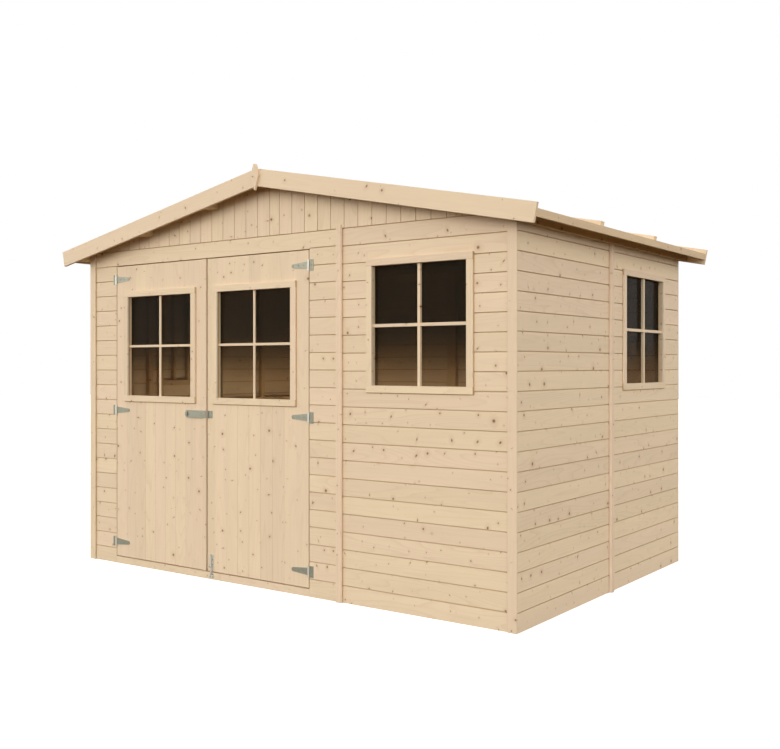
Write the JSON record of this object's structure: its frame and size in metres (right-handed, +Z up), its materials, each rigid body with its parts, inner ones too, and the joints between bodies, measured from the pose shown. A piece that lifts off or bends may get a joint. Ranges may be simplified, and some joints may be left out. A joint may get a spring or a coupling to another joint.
{
  "type": "wooden garden shed",
  "caption": "Timber garden shed with a low pitched boarded roof, glazed double doors on tee hinges and fixed four-pane windows in the front and right walls.",
  "frame": {"origin": "on the ground under the middle of the four walls", "axes": "+Z up, +Y towards the back wall, +X to the right as seen from the front, so the doors face -Y"},
  "size_m": [3.33, 2.284, 2.2797],
  "materials": {
    "wall_timber": "planed softwood boards, pale honey, with small brown knots",
    "roof_timber": "planed softwood roof boards, bare",
    "inner_timber": "sawn softwood framing",
    "window_glass": "clear glazing",
    "zinc_steel": "zinc plated pressed steel"
  },
  "bodies": {
    "shed": {"floor_boards": "inner_timber", "floor_bearers": "inner_timber", "door_sill": "wall_timber", "front_wall_left": "wall_timber", "front_wall_header": "wall_timber", "front_wall_middle": "wall_timber", "front_wall_window_panel": "wall_timber", "front_gable": "wall_timber", "back_wall": "wall_timber", "back_gable": "wall_timber", "left_wall": "wall_timber", "right_wall": "wall_timber", "corner_boards": "wall_timber", "cover_battens": "wall_timber", "front_frame": "inner_timber", "back_frame": "inner_timber", "left_frame": "inner_timber", "right_frame": "inner_timber", "roof_purlins": "inner_timber", "ridge_beam": "inner_timber", "eaves_rails": "inner_timber", "roof_left": "roof_timber", "roof_right": "roof_timber", "roof_cover_strips": "roof_timber", "front_bargeboards": "wall_timber", "rear_bargeboards": "wall_timber", "front_finial": "wall_timber", "rear_finial": "wall_timber", "eaves_fascias": "wall_timber", "front_window_trim": "wall_timber", "right_window_trim": "wall_timber", "wall_window_glass": "window_glass", "hinge_plates": "zinc_steel", "bolt_keeper": "zinc_steel"},
    "left_door": {"left_door_boards": "wall_timber", "left_door_ledges": "inner_timber", "left_door_window_trim": "wall_timber", "left_door_glass": "window_glass", "door_meeting_strip": "wall_timber", "left_hinge_straps": "zinc_steel", "hasp_strap": "zinc_steel"},
    "right_door": {"right_door_boards": "wall_timber", "right_door_ledges": "inner_timber", "right_door_window_trim": "wall_timber", "right_door_glass": "window_glass", "right_hinge_straps": "zinc_steel", "hasp_plate": "zinc_steel", "bolt_barrel": "zinc_steel"},
    "bolt_rod": {"bolt_rod": "zinc_steel"}
  },
  "joints": [
    {"name": "left_door_hinge", "type": "hinge", "parent": "shed", "child": "left_door", "pos_m": [-1.266, -1.034, 0], "axis": [0, 0, -1], "range_deg": [0, 160]},
    {"name": "right_door_hinge", "type": "hinge", "parent": "shed", "child": "right_door", "pos_m": [0.2805, -1.034, 0], "axis": [0, 0, 1], "range_deg": [0, 160]},
    {"name": "bolt_slide", "type": "slide", "parent": "right_door", "child": "bolt_rod", "axis": [0, 0, 1], "range_m": [0, 0.03]}
  ]
}
